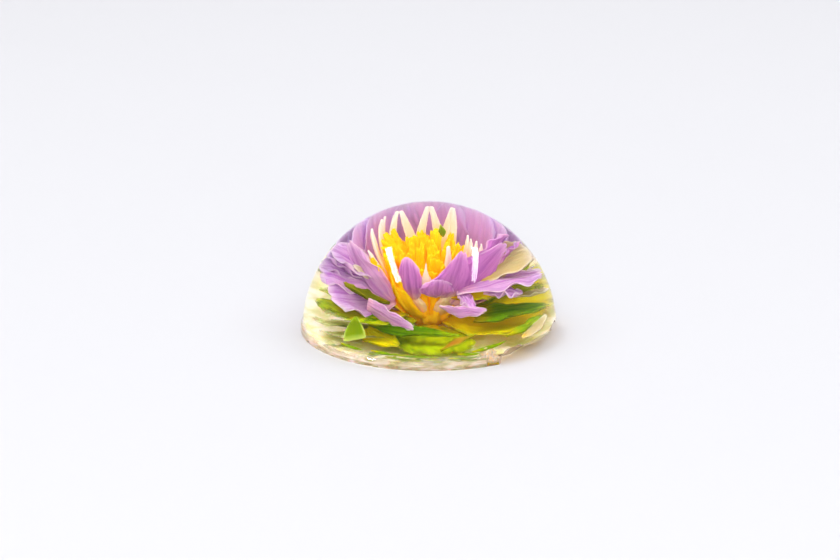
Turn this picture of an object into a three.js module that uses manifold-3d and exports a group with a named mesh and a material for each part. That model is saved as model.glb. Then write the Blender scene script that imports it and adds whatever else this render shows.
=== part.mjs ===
// A small dome of clear set jelly, turned out of a bowl mould and resting on its flat face.
// Millimetres, +Z up. The origin is the centre of the flat face, and -Y is the front.
// The front right of the foot is torn: a long low undercut that runs on to the right side, and rises a
// little at two places.
// Two small flat facets were sliced off the wall, one left of the torn place and one at the front left.
import * as THREE from "three";
import { mergeVertices } from "three/addons/utils/BufferGeometryUtils.js";
import Module from "manifold-3d";

const wasm = await Module();
wasm.setup();

// Driving sizes
const domeRadius = 40;
const domeHeight = 40;
const footHeight = 2.6;
const footFlare = 0.6;
const footLip = 0.35;
const baseEdgeRadius = 0.7;
const footRipple = 0.22;
const rippleFade = 7;
const turns = 104;
const wallSteps = 30;
const edgeSteps = 3;
const baseRings = [10, 20, 29, 36];

// The torn place under the front right of the foot: flattened balls with their half sizes, the long
// undercut first, then its run to the right side and the two places where it rises.
// Where the power is above 2 the ball is boxier, with steeper ends.
const scoops = [
  { azimuthDeg: 60.5, radial: 8, around: 25, high: 5.2, power: 4, roughness: 0.04 },
  { azimuthDeg: 89, radial: 7.5, around: 12, high: 5.9, power: 3, roughness: 0.05 },
  { azimuthDeg: 41.5, radial: 7, around: 6.5, high: 6.5, power: 2, roughness: 0.05 },
  { azimuthDeg: 76, radial: 7, around: 6, high: 7.3, power: 2, roughness: 0.05 },
];
const scoopRadius = 41.5;
const scoopHeight = -1.6;

// Flat slices off the wall: the azimuth and height of the middle, the depth cut off the wall there,
// and how far the slice leans back from the dome's own slope
const slices = [
  { name: "front", azimuthDeg: 26, height: 5.5, depth: 0.8, leanDeg: 3 },
  { name: "left", azimuthDeg: -56, height: 8, depth: 0.25, leanDeg: 0 },
];
const sliceBox = { wide: 60, high: 60, thick: 12 };

// Little nicks in the foot's lip: azimuth and radius
const nicks = [
  { azimuthDeg: -68, radius: 0.9 },
  { azimuthDeg: -47, radius: 0.7 },
  { azimuthDeg: -24, radius: 0.8 },
  { azimuthDeg: 10, radius: 0.75 },
  { azimuthDeg: 79, radius: 1.1 },
  { azimuthDeg: 137, radius: 0.8 },
  { azimuthDeg: 201, radius: 0.9 },
];

// Unit vector in plan for an azimuth that is 0 at the front and grows towards +X.
function planDirection(azimuthDeg) {
  const a = THREE.MathUtils.degToRad(azimuthDeg);
  return new THREE.Vector3(Math.sin(a), -Math.cos(a), 0);
}

// The dome's own radius at a height.
function wallRadius(z) {
  return domeRadius * Math.sqrt(Math.max(0, 1 - (z / domeHeight) ** 2));
}

// A closed geometry as a manifold solid: its shared vertices are merged and its slivers dropped.
function solidOf(geometry) {
  const bare = new THREE.BufferGeometry();
  const source = geometry.index ? geometry.toNonIndexed() : geometry;
  bare.setAttribute("position", source.getAttribute("position").clone());
  const merged = mergeVertices(bare, 1e-4);
  const kept = [];
  const corners = merged.index.array;
  for (let i = 0; i < corners.length; i += 3) {
    const [a, b, c] = [corners[i], corners[i + 1], corners[i + 2]];
    if (a !== b && b !== c && c !== a) kept.push(a, b, c);
  }
  const mesh = new wasm.Mesh({
    numProp: 3,
    vertProperties: merged.attributes.position.array,
    triVerts: new Uint32Array(kept),
  });
  return new wasm.Manifold(mesh);
}

// A manifold solid as a geometry.
function geometryOf(solid) {
  const mesh = solid.getMesh();
  const geometry = new THREE.BufferGeometry();
  geometry.setAttribute("position", new THREE.Float32BufferAttribute(mesh.vertProperties, 3));
  geometry.setIndex(Array.from(mesh.triVerts));
  return geometry;
}

// Half section of the dome, from the middle of the flat face out to the foot and up to the crown.
function domeProfile() {
  const points = [new THREE.Vector2(0, 0)];
  for (const radius of baseRings) points.push(new THREE.Vector2(radius, 0));
  const footRadius = wallRadius(0) + footFlare;
  for (let i = 0; i <= edgeSteps; i += 1) {
    const a = (i / edgeSteps) * (Math.PI / 2);
    const radius = footRadius - baseEdgeRadius * (1 - Math.sin(a));
    points.push(new THREE.Vector2(radius, baseEdgeRadius * (1 - Math.cos(a))));
  }
  points.push(new THREE.Vector2(footRadius - footLip * 0.5, footHeight - footLip));
  points.push(new THREE.Vector2(wallRadius(footHeight) + 0.08, footHeight));
  const firstAngle = Math.asin((footHeight + footLip) / domeHeight);
  for (let i = 0; i < wallSteps; i += 1) {
    const a = firstAngle + (i / wallSteps) * (Math.PI / 2 - firstAngle);
    points.push(new THREE.Vector2(domeRadius * Math.cos(a), domeHeight * Math.sin(a)));
  }
  points.push(new THREE.Vector2(0, domeHeight));
  return points;
}

// Ripples the outline of the foot, and lets the ripple die away up the wall.
// It is nothing at the front, back and sides, so that the dome's width and depth stay as stated.
function rippleFoot(geometry) {
  const position = geometry.getAttribute("position");
  for (let i = 0; i < position.count; i += 1) {
    const [x, y, z] = [position.getX(i), position.getY(i), position.getZ(i)];
    const radius = Math.hypot(x, y);
    if (radius < domeRadius * 0.85) continue;
    const a = Math.atan2(y, x);
    const wave = Math.sin(3 * a + 0.6) * 0.5 + Math.sin(7 * a + 2.1) * 0.3 + Math.sin(16 * a) * 0.2;
    const share = wave * Math.sin(2 * a) ** 2 * Math.max(0, 1 - z / rippleFade);
    const scale = 1 + (footRipple * share) / radius;
    position.setXYZ(i, x * scale, y * scale, z);
  }
}

// The whole dome before it was torn.
function wholeDome() {
  const lathe = new THREE.LatheGeometry(domeProfile(), turns);
  lathe.rotateX(Math.PI / 2);
  rippleFoot(lathe);
  return solidOf(lathe);
}

// A lumpy flattened ball that scoops out part of the torn place.
function scoopCutter(scoop) {
  const ball = new THREE.SphereGeometry(1, 36, 22);
  const position = ball.getAttribute("position");
  for (let i = 0; i < position.count; i += 1) {
    const [x, y, z] = [position.getX(i), position.getY(i), position.getZ(i)];
    const lump = Math.sin(5 * x + 2 * y) * Math.cos(6 * z - 1) + 0.5 * Math.sin(11 * x - 7 * z);
    const sum = [x, y, z].reduce((total, part) => total + Math.abs(part) ** scoop.power, 0);
    const scale = (1 + scoop.roughness * lump) / sum ** (1 / scoop.power);
    position.setXYZ(i, x * scale, y * scale, z * scale);
  }
  ball.scale(scoop.around, scoop.radial, scoop.high);
  ball.rotateZ(THREE.MathUtils.degToRad(scoop.azimuthDeg));
  const centre = planDirection(scoop.azimuthDeg).multiplyScalar(scoopRadius);
  ball.translate(centre.x, centre.y, scoopHeight);
  return solidOf(ball);
}

// A thick flat block whose inner face shaves a facet off the wall.
function sliceCutter(slice) {
  const block = new THREE.BoxGeometry(sliceBox.wide, sliceBox.thick, sliceBox.high);
  const slopeDeg = THREE.MathUtils.radToDeg(Math.asin(slice.height / domeHeight));
  block.translate(0, -sliceBox.thick / 2, 0);
  block.rotateX(-THREE.MathUtils.degToRad(slopeDeg + slice.leanDeg));
  block.rotateZ(THREE.MathUtils.degToRad(slice.azimuthDeg));
  const middle = planDirection(slice.azimuthDeg).multiplyScalar(wallRadius(slice.height) - slice.depth);
  block.translate(middle.x, middle.y, slice.height);
  return solidOf(block);
}

// A small faceted bite out of the lip of the foot.
function nickCutter(nick) {
  const bite = new THREE.IcosahedronGeometry(nick.radius, 1);
  bite.scale(1.6, 1.6, 1);
  const centre = planDirection(nick.azimuthDeg).multiplyScalar(domeRadius + footFlare + 0.4);
  bite.translate(centre.x, centre.y, baseEdgeRadius * 0.6);
  return solidOf(bite);
}

// The torn dome.
function jellyGeometry() {
  let body = wholeDome();
  for (const slice of slices) body = body.subtract(sliceCutter(slice));
  for (const nick of nicks) body = body.subtract(nickCutter(nick));
  for (const scoop of scoops) body = body.subtract(scoopCutter(scoop));
  const geometry = geometryOf(body);
  geometry.computeVertexNormals();
  return geometry;
}

const clearJelly = new THREE.MeshStandardMaterial({
  color: 0xe9dfe6,
  roughness: 0.05,
  metalness: 0,
  transparent: true,
  opacity: 0.35,
});

const jelly = new THREE.Mesh(jellyGeometry(), clearJelly);
jelly.name = "jelly";

const flowerJelly = new THREE.Group();
flowerJelly.add(jelly);

export default flowerJelly;
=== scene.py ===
"""A clear jelly dome with a coloured jelly lotus set inside it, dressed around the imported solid.

Sizes are in millimetres and become metres where a mesh or a light is made. Azimuths are in degrees,
0 at the front (-Y) and growing towards +X. A place in the dome is an azimuth, a radius and a height.
"""

import logging
import math
import random
from dataclasses import dataclass, field
from enum import Enum
from typing import Callable, Iterable

import bmesh
import bpy
from bmesh.types import BMesh, BMVert
from bpy.types import Material, Node, NodeTree, Object
from mathutils import Matrix, Vector, noise

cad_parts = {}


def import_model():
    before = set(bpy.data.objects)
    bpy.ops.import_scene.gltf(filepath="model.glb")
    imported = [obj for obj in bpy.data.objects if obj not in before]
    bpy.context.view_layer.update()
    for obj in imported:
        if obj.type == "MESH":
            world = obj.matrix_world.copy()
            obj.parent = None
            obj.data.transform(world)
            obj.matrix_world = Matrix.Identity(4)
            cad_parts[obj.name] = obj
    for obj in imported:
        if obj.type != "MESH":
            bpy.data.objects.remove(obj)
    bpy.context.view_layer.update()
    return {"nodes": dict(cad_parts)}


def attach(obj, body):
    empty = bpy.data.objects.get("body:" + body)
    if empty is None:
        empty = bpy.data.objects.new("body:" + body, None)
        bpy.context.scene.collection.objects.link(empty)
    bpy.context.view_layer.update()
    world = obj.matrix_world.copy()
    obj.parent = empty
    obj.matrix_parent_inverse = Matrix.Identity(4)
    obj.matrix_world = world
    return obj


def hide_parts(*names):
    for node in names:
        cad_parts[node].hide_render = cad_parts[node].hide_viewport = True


MM = 0.001
BODY = "root"
LOG = logging.getLogger("jelly_flower")
Colour = tuple[float, float, float, float]
Spot = tuple[float, float, float]

# The layers that each sunk piece carries, and that its finish reads: the share of a blade's length, the
# place across it from -1 to 1, the blade's own number, and which face it is
LAYERS = ("along", "across", "tone", "side")


class Slot(Enum):
    """Names for the kinds of material."""

    CLEAR = "clear_jelly"
    PURPLE = "petal_purple"
    CREAM = "petal_cream"
    YELLOW = "stamen_yellow"
    GREEN = "leaf_green"


def plan(azimuth: float) -> Vector:
    """Unit vector in plan for an azimuth in degrees."""
    angle = math.radians(azimuth)
    return Vector((math.sin(angle), -math.cos(angle), 0.0))


def spot_at(place: Spot) -> Vector:
    """The point, in millimetres, at an azimuth, a radius and a height."""
    return plan(place[0]) * place[1] + Vector((0, 0, place[2]))


def linear(hex_colour: str) -> Colour:
    """Turns an sRGB colour to the linear one that a shader takes.

    Args:
        hex_colour: The colour, such as "#fdbd08".

    Returns:
        Its linear red, green, blue and alpha.
    """
    parts = [int(hex_colour[i : i + 2], 16) / 255 for i in (1, 3, 5)]
    red, green, blue = [p / 12.92 if p <= 0.04045 else ((p + 0.055) / 1.055) ** 2.4 for p in parts]
    return red, green, blue, 1.0


def smooth(low: float, high: float, value: float) -> float:
    """Smooth step from 0 at low to 1 at high."""
    share = min(1.0, max(0.0, (value - low) / (high - low)))
    return share * share * (3 - 2 * share)


def add_node(tree: NodeTree, kind: str, settings: dict | None = None,
             links: dict | None = None) -> Node:
    """Adds a shader node.

    Args:
        tree: The node tree that takes it.
        kind: Blender's name for the node's type, without the ShaderNode that it starts with.
        settings: Attribute names, or input names or numbers, to their values.
        links: Input names or numbers to the output sockets that feed them.

    Returns:
        The new node.
    """
    node = tree.nodes.new("ShaderNode" + kind)
    for key, value in (settings or {}).items():
        if isinstance(key, str) and hasattr(node, key):
            setattr(node, key, value)
        else:
            node.inputs[key].default_value = value
    for key, socket in (links or {}).items():
        tree.links.new(socket, node.inputs[key])
    return node


def new_material(name: str) -> tuple[Material, NodeTree]:
    """Adds a material with nothing in its node tree.

    Args:
        name: Its name.

    Returns:
        The material and the tree.
    """
    material = bpy.data.materials.new(name)
    material.use_nodes = True
    material.node_tree.nodes.clear()
    return material, material.node_tree


def make_mesh(name: str, bm: BMesh, material: Material) -> bpy.types.Mesh:
    """Turns a finished bmesh, which is freed, into a mesh.

    Args:
        name: The mesh's name.
        bm: The bmesh.
        material: Its finish.

    Returns:
        The mesh.
    """
    mesh = bpy.data.meshes.new(name)
    bm.to_mesh(mesh)
    bm.free()
    mesh.materials.append(material)
    return mesh


def add_object(data: bpy.types.ID) -> Object:
    """Adds an object to the scene, at the origin.

    Args:
        data: The mesh, lamp or camera that it holds, whose name it takes.

    Returns:
        The object.
    """
    thing = bpy.data.objects.new(data.name, data)
    bpy.context.scene.collection.objects.link(thing)
    return thing


def make_piece(name: str, bm: BMesh, material: Material) -> Object:
    """Turns a finished bmesh into a smooth shaded piece that rides on the jelly.

    Args:
        name: The piece's name.
        bm: Its mesh, which is freed.
        material: Its finish.

    Returns:
        The piece.
    """
    for face in bm.faces:
        face.smooth = True
    piece = add_object(make_mesh(name, bm, material))
    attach(piece, BODY)
    return piece


def spin_line(points: Iterable[Vector], steps: int, merge_mm: float, cuts: int = 0) -> BMesh:
    """Spins a line of points once round the upright axis.

    Args:
        points: The line, in millimetres, from the axis out and back to it.
        steps: How many steps the spin takes.
        merge_mm: How near to one another points become one, which closes the poles.
        cuts: How many points are put between each two before the spin.

    Returns:
        The closed shape, with its faces outwards.
    """
    bm = bmesh.new()
    verts = [bm.verts.new(point * MM) for point in points]
    edges = [bm.edges.new(pair) for pair in zip(verts, verts[1:])]
    if cuts:
        bmesh.ops.subdivide_edges(bm, edges=edges, cuts=cuts)
    bmesh.ops.spin(bm, geom=bm.verts[:] + bm.edges[:], axis=(0, 0, 1), cent=(0, 0, 0), steps=steps,
                   angle=2 * math.pi, use_merge=True)
    bmesh.ops.remove_doubles(bm, verts=bm.verts, dist=merge_mm * MM)
    bmesh.ops.recalc_face_normals(bm, faces=bm.faces)
    return bm


def turn_to(bm: BMesh, verts: Iterable[BMVert], azimuth: float) -> None:
    """Turns points that were made at the front round to an azimuth."""
    bmesh.ops.rotate(bm, verts=verts, matrix=Matrix.Rotation(math.radians(azimuth), 3, "Z"))


@dataclass(frozen=True)
class ClearJelly:
    """Gelatine set clear in a wet mould, which gives glass with a faint yellow where it is deep.

    The bump is the fine unevenness that the mould leaves. mist is the share of the haze that a torn
    surface has, and pane is what the lamps' rays keep on their way in.
    """

    name: str = "clear_set_gelatine"
    ior: float = 1.34
    roughness: float = 0.012
    tint: str = "#fffefc"
    sheen: str = "#c0c0c0"
    depth_tint: Colour = (0.97, 0.95, 0.82, 1.0)
    depth_density: float = 22.0
    pit_spacing_mm: float = 2.2
    pit_depth_mm: float = 0.012
    mist: float = 0.0
    haze: str = "#faece0"
    pane: Colour = (0.96, 0.94, 0.95, 1.0)

    def build(self) -> Material:
        """Makes the material: glass for the eye, a pale pane for the lamps' rays, so they reach the flower.

        Returns:
            The material.
        """
        material, tree = new_material(self.name)
        place = add_node(tree, "TexCoord").outputs["Object"]
        pits = add_node(tree, "TexNoise",
                        {"Scale": 1 / (self.pit_spacing_mm * MM), "Detail": 3.0, "Roughness": 0.55},
                        {"Vector": place})
        bump = add_node(tree, "Bump", {"Strength": 1.0, "Distance": self.pit_depth_mm * MM},
                        {"Height": pits.outputs["Fac"]})
        wet = add_node(tree, "BsdfPrincipled",
                       {"Base Color": linear(self.tint), "Roughness": self.roughness, "IOR": self.ior,
                        "Transmission Weight": 1.0, "Specular Tint": linear(self.sheen)},
                       {"Normal": bump.outputs["Normal"]})
        if self.mist:
            haze = add_node(tree, "BsdfDiffuse", {"Color": linear(self.haze)},
                            {"Normal": bump.outputs["Normal"]})
            wet = add_node(tree, "MixShader", {0: self.mist}, {1: wet.outputs[0], 2: haze.outputs[0]})
        pane = add_node(tree, "BsdfTransparent", {"Color": self.pane})
        rays = add_node(tree, "LightPath")
        mix = add_node(tree, "MixShader", None,
                       {0: rays.outputs["Is Shadow Ray"], 1: wet.outputs[0], 2: pane.outputs[0]})
        depth = add_node(tree, "VolumeAbsorption",
                         {"Color": self.depth_tint, "Density": self.depth_density})
        add_node(tree, "OutputMaterial", None,
                 {"Surface": mix.outputs[0], "Volume": depth.outputs[0]})
        return material


@dataclass(frozen=True)
class CloudyJelly:
    """Gelatine poured last over crumbs of the cut, which gives a pale mist with riper patches.

    patch_mm is the size of the patches and layering squeezes them flat. The mist thins out between two
    heights, down to thinnest.
    """

    name: str = "cloudy_set_gelatine"
    colour: str = "#eddccb"
    patch_colour: str = "#eddccb"
    cover: float = 0.55
    patch_mm: float = 2.5
    patchy: float = 0.15
    layering: float = 1.0
    thins_from_mm: float = 90.0
    thins_to_mm: float = 100.0
    thinnest: float = 0.15

    def build(self) -> Material:
        """Makes the material: a mist that lets part of the light straight through.

        Returns:
            The material.
        """
        material, tree = new_material(self.name)
        place = add_node(tree, "TexCoord").outputs["Object"]
        layers = add_node(tree, "VectorMath", {"operation": "MULTIPLY", 1: (1, 1, self.layering)},
                          {0: place})
        patch = add_node(tree, "TexNoise", {"Scale": 1 / (self.patch_mm * MM), "Detail": 3.0},
                         {"Vector": layers.outputs[0]})
        cover = add_node(tree, "MapRange", {"From Min": 0.35, "From Max": 0.65,
                                            "To Min": self.cover - self.patchy,
                                            "To Max": self.cover + self.patchy},
                         {"Value": patch.outputs["Fac"]})
        ripe = add_node(tree, "MapRange", {"From Min": 0.42, "From Max": 0.58},
                        {"Value": patch.outputs["Fac"]})
        height = add_node(tree, "SeparateXYZ", None, {0: place})
        thin = add_node(tree, "MapRange",
                        {"From Min": self.thins_from_mm * MM, "From Max": self.thins_to_mm * MM,
                         "To Min": 1.0, "To Max": self.thinnest}, {"Value": height.outputs["Z"]})
        shown = add_node(tree, "Math", {"operation": "MULTIPLY"},
                         {0: cover.outputs[0], 1: thin.outputs[0]})
        colour = add_node(tree, "Mix", {"data_type": "RGBA", 6: linear(self.patch_colour),
                                        7: linear(self.colour)}, {0: ripe.outputs[0]})
        mist = add_node(tree, "BsdfPrincipled",
                        {"Roughness": 0.6, "Specular IOR Level": 0.0,
                         "Subsurface Weight": 0.3, "Subsurface Scale": 0.001},
                        {"Base Color": colour.outputs[2], "Alpha": shown.outputs[0]})
        add_node(tree, "OutputMaterial", None, {"Surface": mist.outputs[0]})
        return material


@dataclass(frozen=True)
class MilkyJelly:
    """Jelly let down with milk and colour: soft, matt where it is sunk, and lit through.

    The tool lays it thicker at the root and thinner at the rim, so the colour runs along and across, and
    it streaks where the cut was drawn through the clear jelly. A darker line near the middle is painted
    shade, where a crease would be shaded. "under" tints the face turned away from the flower's axis with
    painted light, which stands in for the light coming through the jelly onto these shaded faces. fade
    below 1 thins the jelly out to nothing at its edges, and let_through is the share of the lamps' rays
    that goes on to what lies under it.
    """

    name: str
    root: str
    body: str
    tip: str
    deep: str
    rim: str
    under: str
    under_share: float = 0.3
    root_end: float = 0.34
    tip_start: float = 0.75
    rim_start: float = 0.88
    rim_share: float = 0.5
    streaks: float = 0.5
    streaks_across: float = 5.0
    streaks_along: float = 1.6
    painted_crease_shade: float = 0.5
    flecks: float = 0.0
    fade: float = 1.0
    let_through: float = 0.8
    depth_share: float = 0.5
    glow: float = 0.8
    glow_mm: float = 1.2

    def build(self) -> Material:
        """Makes the material from the layers that the sunk pieces carry.

        Returns:
            The material.
        """
        material, tree = new_material(self.name)

        along, across, tone, side = [
            add_node(tree, "Attribute", {"attribute_name": layer}).outputs["Fac"]
            for layer in LAYERS]
        run = add_node(tree, "ValToRGB", None, {"Fac": along})
        stops = run.color_ramp.elements
        stops[0].position, stops[0].color = 0.08, linear(self.root)
        stops[1].position, stops[1].color = 1.0, linear(self.tip)
        for position in (self.root_end, self.tip_start):
            stops.new(position).color = linear(self.body)
        where = add_node(tree, "CombineXYZ", None, {0: along, 1: across, 2: tone})
        spread = add_node(tree, "VectorMath",
                          {"operation": "MULTIPLY", 1: (self.streaks_along, self.streaks_across, 37.0)},
                          {0: where.outputs[0]})
        streak = add_node(tree, "TexNoise", {"Scale": 1.0, "Detail": 5.0, "Roughness": 0.62},
                          {"Vector": spread.outputs[0]}).outputs["Fac"]
        wander = add_node(tree, "Math", {"operation": "MULTIPLY_ADD", 1: 0.5}, {0: streak, 2: across})
        offset = add_node(tree, "Math", {"operation": "SUBTRACT", 1: 0.25}, {0: wander.outputs[0]})
        middle = add_node(tree, "Math", {"operation": "ABSOLUTE"}, {0: offset.outputs[0]})
        breadth = add_node(tree, "Math", {"operation": "ABSOLUTE"}, {0: across})
        edge = add_node(tree, "Math", {"operation": "MAXIMUM"}, {0: breadth.outputs[0], 1: along})
        fleck = add_node(tree, "TexNoise", {"Scale": 3.5, "Detail": 2.0, "Roughness": 0.5},
                         {"Vector": spread.outputs[0]}).outputs["Fac"]
        shown = run.outputs["Color"]
        # Each value, where on it a tint starts and where it is at its most, that most, and the tint
        tints = ((streak, 0.44, 0.66, self.streaks, self.deep),
                 (fleck, 0.62, 0.7, self.flecks, self.deep),
                 # The darker line near the middle is painted shade, where a crease would be shaded
                 (middle.outputs[0], 0.14, 0.0, self.painted_crease_shade, self.deep),
                 # The underside tint is painted light on the shaded faces turned away from the axis
                 (side, 0.3, -0.3, self.under_share, self.under),
                 (edge.outputs[0], self.rim_start, 1.0, self.rim_share, self.rim))
        for value, low, high, most, tint in tints:
            share = add_node(tree, "MapRange", {"From Min": low, "From Max": high, "To Max": most},
                             {"Value": value})
            shown = add_node(tree, "Mix", {"data_type": "RGBA", 7: linear(tint)},
                             {0: share.outputs[0], 6: shown}).outputs[2]
        milk = add_node(tree, "BsdfPrincipled",
                        {"Roughness": 0.55, "Specular IOR Level": 0.0, "Subsurface Weight": self.glow,
                         "Subsurface Scale": self.glow_mm * MM, "Subsurface Radius": (1.0, 0.7, 0.8)},
                        {"Base Color": shown})
        if self.fade < 1:
            thin = add_node(tree, "Math", {"operation": "MULTIPLY_ADD", 1: 0.5},
                            {0: streak, 2: edge.outputs[0]})
            cover = add_node(tree, "MapRange",
                             {"From Min": self.fade + 0.25, "From Max": 1.25, "To Min": 1.0, "To Max": 0.0},
                             {"Value": thin.outputs[0]})
            tree.links.new(cover.outputs[0], milk.inputs["Alpha"])
        pale = add_node(tree, "Gamma", {"Gamma": self.depth_share}, {"Color": shown})
        lit = add_node(tree, "BsdfTransparent", None, {"Color": pale.outputs[0]})
        rays = add_node(tree, "LightPath")
        passed = add_node(tree, "Math", {"operation": "MULTIPLY", 1: self.let_through},
                          {0: rays.outputs["Is Shadow Ray"]})
        mix = add_node(tree, "MixShader", None,
                       {0: passed.outputs[0], 1: milk.outputs[0], 2: lit.outputs[0]})
        add_node(tree, "OutputMaterial", None, {"Surface": mix.outputs[0]})
        return material


@dataclass(frozen=True)
class Scoop:
    """A lumpy flattened ball that part of the torn place under the foot is the shape of.

    radial, around and high are its half sizes. Where the power is above 2 it is boxier, with steeper ends.
    """

    azimuth: float
    radial: float
    around: float
    high: float
    power: float
    roughness: float
    centre_radius: float = 41.5
    centre_height: float = -1.6

    def build(self) -> BMesh:
        """Makes the ball.

        Returns:
            The ball in place.
        """
        bm = bmesh.new()
        bmesh.ops.create_uvsphere(bm, u_segments=72, v_segments=44, radius=1.0)
        bmesh.ops.rotate(bm, verts=bm.verts, matrix=Matrix.Rotation(math.radians(90), 3, "X"))
        for vert in bm.verts:
            x, y, z = vert.co
            lump = math.sin(5 * x + 2 * y) * math.cos(6 * z - 1) + 0.5 * math.sin(11 * x - 7 * z)
            total = sum(abs(part) ** self.power for part in vert.co)
            vert.co *= (1 + self.roughness * lump) / total ** (1 / self.power)
        size = Vector((self.around, self.radial, self.high)) * MM
        bmesh.ops.scale(bm, verts=bm.verts, vec=size)
        turn_to(bm, bm.verts, self.azimuth)
        centre = plan(self.azimuth) * self.centre_radius * MM + Vector((0, 0, self.centre_height * MM))
        bmesh.ops.translate(bm, verts=bm.verts, vec=centre)
        return bm


@dataclass(frozen=True)
class Slice:
    """A flat slice off the wall: where its middle is, how deep it goes and how far it leans back."""

    azimuth: float
    height: float
    depth: float
    lean: float
    wide: float = 60.0
    thick: float = 12.0

    def build(self, wall_radius: Callable[[float], float], dome_height: float) -> BMesh:
        """Makes the block that is cut away.

        Args:
            wall_radius: The dome's radius at a height.
            dome_height: The dome's height.

        Returns:
            The block in place.
        """
        bm = bmesh.new()
        bmesh.ops.create_cube(bm, size=1.0)
        bmesh.ops.scale(bm, verts=bm.verts, vec=Vector((self.wide, self.thick, self.wide)) * MM)
        bmesh.ops.translate(bm, verts=bm.verts, vec=Vector((0, -self.thick / 2, 0)) * MM)
        slope = math.asin(self.height / dome_height) + math.radians(self.lean)
        bmesh.ops.rotate(bm, verts=bm.verts, matrix=Matrix.Rotation(-slope, 3, "X"))
        turn_to(bm, bm.verts, self.azimuth)
        middle = spot_at((self.azimuth, wall_radius(self.height) - self.depth, self.height))
        bmesh.ops.translate(bm, verts=bm.verts, vec=middle * MM)
        return bm


@dataclass(frozen=True)
class Nick:
    """A little bite out of the lip of the foot."""

    azimuth: float
    radius: float
    stand_off: float = 0.4

    def build(self, foot_radius: float, height: float) -> BMesh:
        """Makes the flattened ball that is bitten out.

        Args:
            foot_radius: The foot's radius.
            height: Where the ball's middle is.

        Returns:
            The ball in place.
        """
        bm = bmesh.new()
        bmesh.ops.create_icosphere(bm, subdivisions=2, radius=self.radius * MM)
        bmesh.ops.scale(bm, verts=bm.verts, vec=(1.6, 1.6, 1.0))
        centre = spot_at((self.azimuth, foot_radius + self.stand_off, height))
        bmesh.ops.translate(bm, verts=bm.verts, vec=centre * MM)
        return bm


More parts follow.
